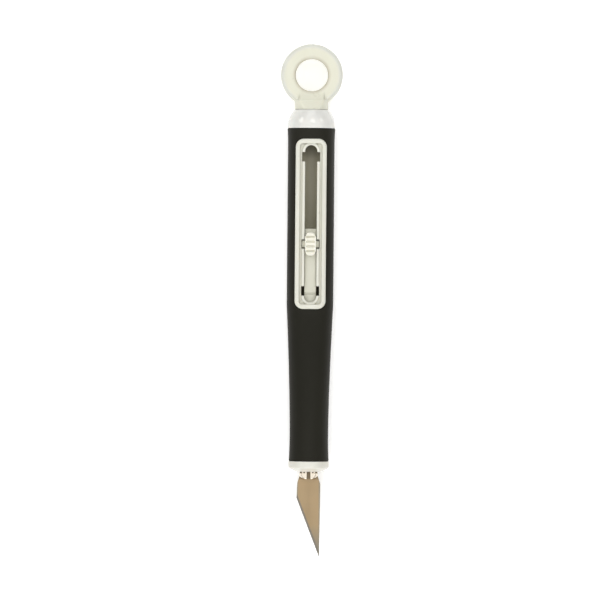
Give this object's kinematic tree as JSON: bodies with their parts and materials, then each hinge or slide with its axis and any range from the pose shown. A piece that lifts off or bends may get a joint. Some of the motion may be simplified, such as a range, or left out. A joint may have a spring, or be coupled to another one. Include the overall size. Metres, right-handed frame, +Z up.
{
  "type": "craft knife",
  "caption": "Retractable craft knife: pointed flat blade in a split collet, thumb slide in a framed slot, soft tapered sleeve and a swivelling hanging ring.",
  "frame": {"origin": "bottom centre of the bounding box, on the surface that the knife lies on, under the middle of its length", "axes": "+Y from the blade's tip to the hanging ring, +Z up out of the slide window, +X to the right of the window with the ring away from the viewer"},
  "size_m": [0.021, 0.1744, 0.0157],
  "materials": {
    "rubber_grip": "matte soft-touch",
    "white_plastic": "glossy moulded",
    "cream_plastic": "semi-gloss moulded",
    "button_plastic": "semi-gloss moulded, ribbed",
    "inner_plastic": "satin moulded",
    "barrel_plastic": "satin moulded",
    "blade_steel": "bronze coated, ground edge",
    "collet_metal": "polished",
    "spring_steel": "drawn wire"
  },
  "bodies": {
    "handle": {"rubber_sleeve": "rubber_grip", "barrel_front_shell": "barrel_plastic", "barrel_back_shell": "barrel_plastic", "window_bezel": "cream_plastic", "nose_cap": "white_plastic", "end_cap": "white_plastic"},
    "carrier": {"slide_carrier": "inner_plastic", "button_spring": "spring_steel", "collet": "collet_metal", "collet_pin": "spring_steel"},
    "button": {"thumb_button": "button_plastic"},
    "blade": {"blade": "blade_steel"},
    "ring": {"hanging_ring": "cream_plastic", "swivel_washer": "spring_steel"}
  },
  "joints": [
    {"name": "carrier_slide", "type": "slide", "parent": "handle", "child": "carrier", "axis": [0, 1, 0], "range_m": [-0.0158, 0.0296]},
    {"name": "button_press", "type": "slide", "parent": "carrier", "child": "button", "axis": [0, 0, -1], "range_m": [0, 0.001], "stiffness_N_per_m": 600, "springref_m": -0.002, "deforming": ["button_spring"]},
    {"name": "blade_draw", "type": "slide", "parent": "carrier", "child": "blade", "axis": [0, -1, 0], "range_m": [0, 0.0135]},
    {"name": "ring_swivel", "type": "hinge", "parent": "handle", "child": "ring", "pos_m": [0, 0.0649, 0.0072], "axis": [0, 1, 0], "continuous": true}
  ]
}
